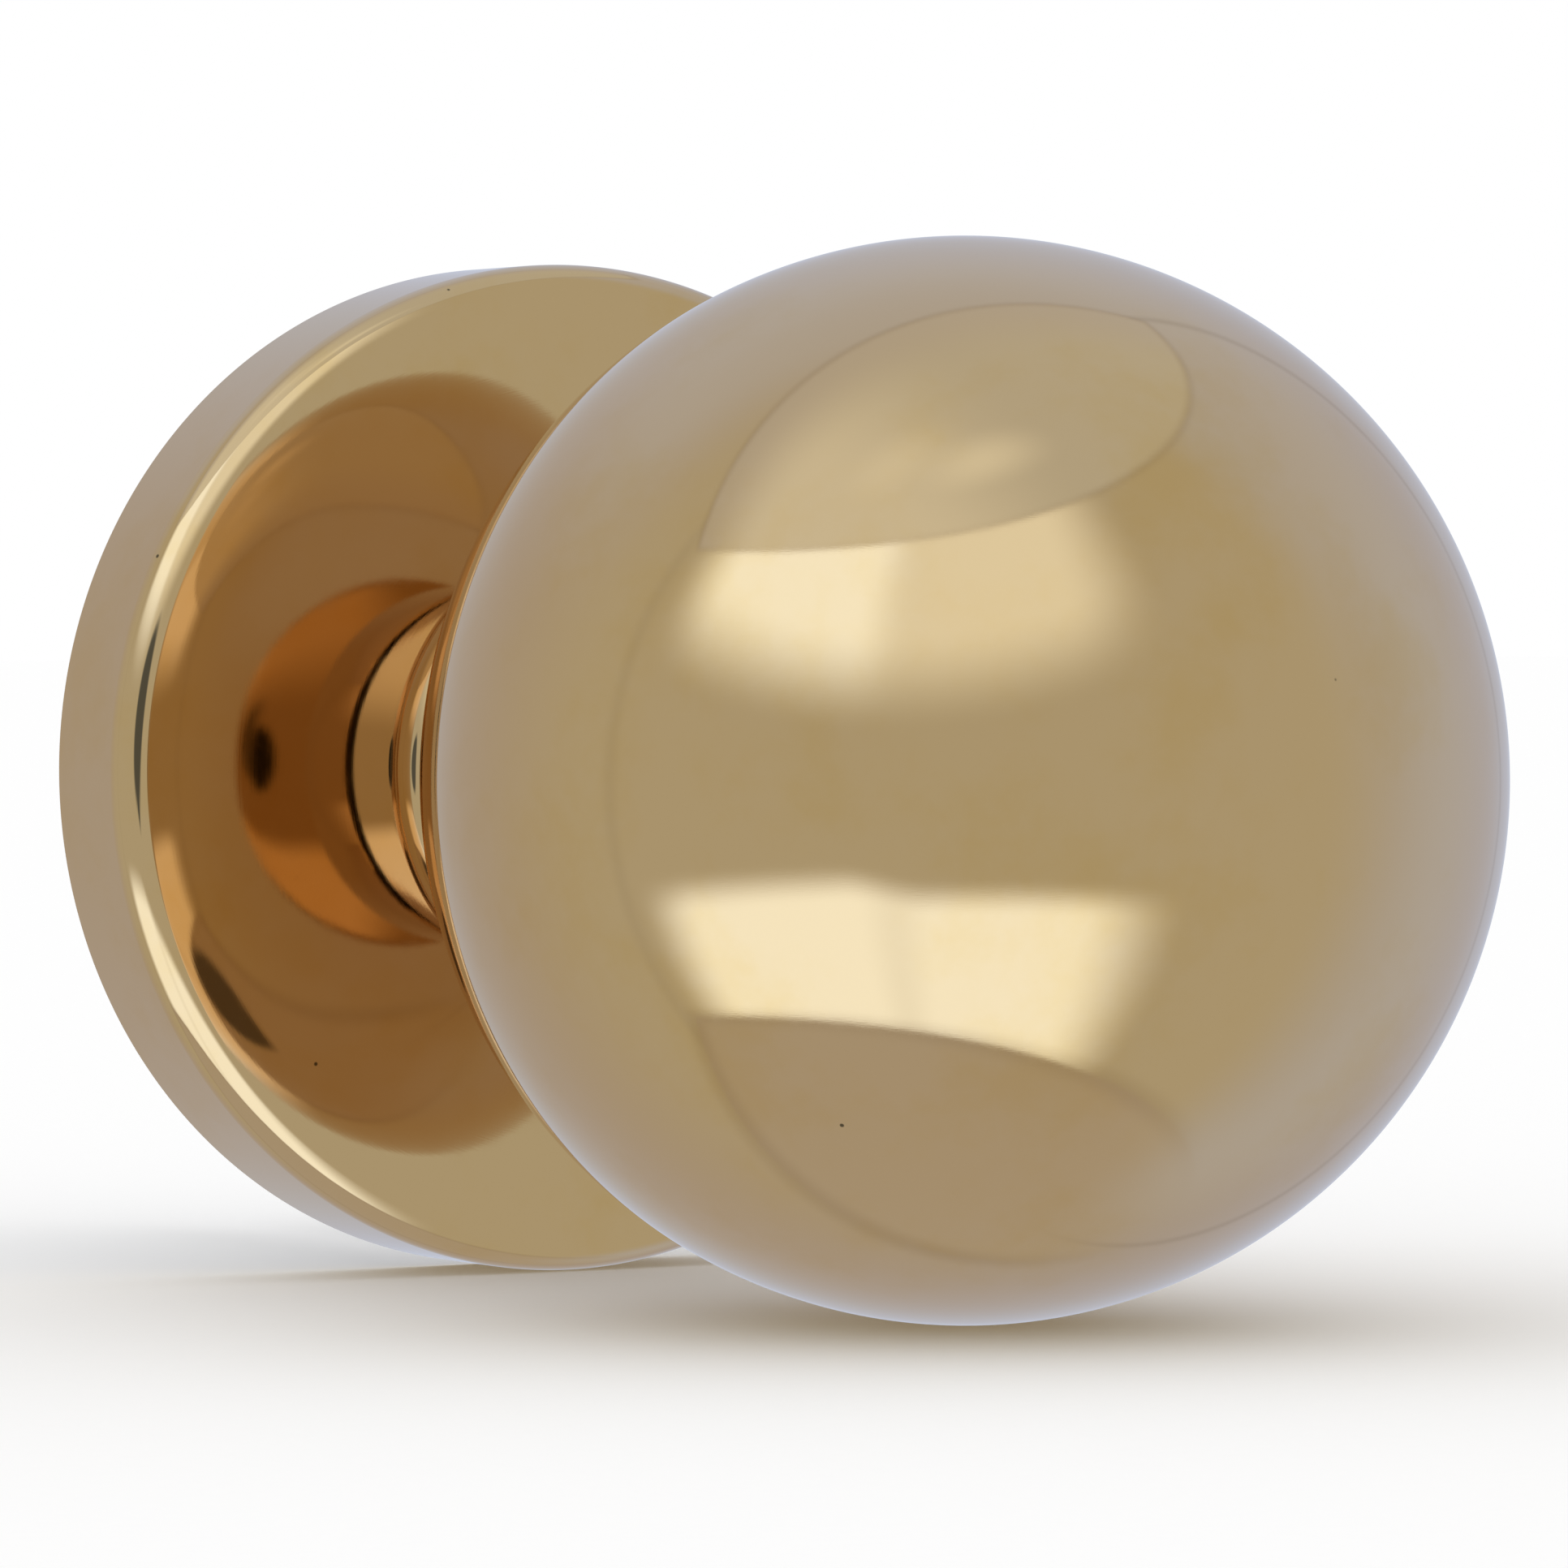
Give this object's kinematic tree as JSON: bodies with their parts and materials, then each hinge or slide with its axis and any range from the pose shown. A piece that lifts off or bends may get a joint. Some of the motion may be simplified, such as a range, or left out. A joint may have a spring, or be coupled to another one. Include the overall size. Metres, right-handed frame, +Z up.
{
  "type": "ball mortice door knob",
  "caption": "Polished brass ball knob turning on a round concealed-fix sprung rose, with a square spindle and through bolts behind it, for a door.",
  "frame": {"origin": "centre of the rose's back face, on the door face and on the knob's turning axis", "axes": "+Z up the door, +Y into the door along the spindle, +X to the right as you face the door; the ball points along -Y"},
  "size_m": [0.06, 0.1209, 0.06],
  "materials": {
    "polished_brass": "mirror polished, clear lacquered",
    "raw_brass": "as turned, unpolished",
    "zinc_casting": "die-cast, satin",
    "bright_zinc_steel": "bright zinc plated",
    "black_steel": "black phosphated spring steel",
    "black_acetal": "moulded, matt",
    "white_acetal": "moulded, matt",
    "black_rubber": "moulded"
  },
  "bodies": {
    "rose": {"rose_cover": "polished_brass", "inner_rose": "zinc_casting", "collar_bush": "white_acetal", "base_bush": "white_acetal", "thrust_washer": "black_acetal", "return_spring": "bright_zinc_steel", "stop_pin_left": "bright_zinc_steel", "stop_pin_right": "bright_zinc_steel", "fixing_bolt_top": "bright_zinc_steel", "fixing_bolt_bottom": "bright_zinc_steel", "bolt_washer_top": "bright_zinc_steel", "bolt_washer_bottom": "bright_zinc_steel", "cover_grub_screw": "black_steel", "cover_o_ring": "black_rubber"},
    "knob": {"ball_shell_front": "polished_brass", "ball_shell_rear": "polished_brass", "seam_ring": "raw_brass", "neck_shank": "polished_brass", "saddle_washer": "raw_brass", "neck_nut": "raw_brass", "spindle": "bright_zinc_steel", "spindle_set_screw": "black_steel", "drive_cam": "bright_zinc_steel", "circlip": "black_steel", "disc_spring": "bright_zinc_steel"}
  },
  "joints": [
    {"name": "knob_turn", "type": "hinge", "parent": "rose", "child": "knob", "pos_m": [0, 0, 0], "axis": [0, -1, 0], "range_deg": [-60, 60], "stiffness_Nm_per_rad": 0.6, "deforming": ["return_spring"]}
  ]
}
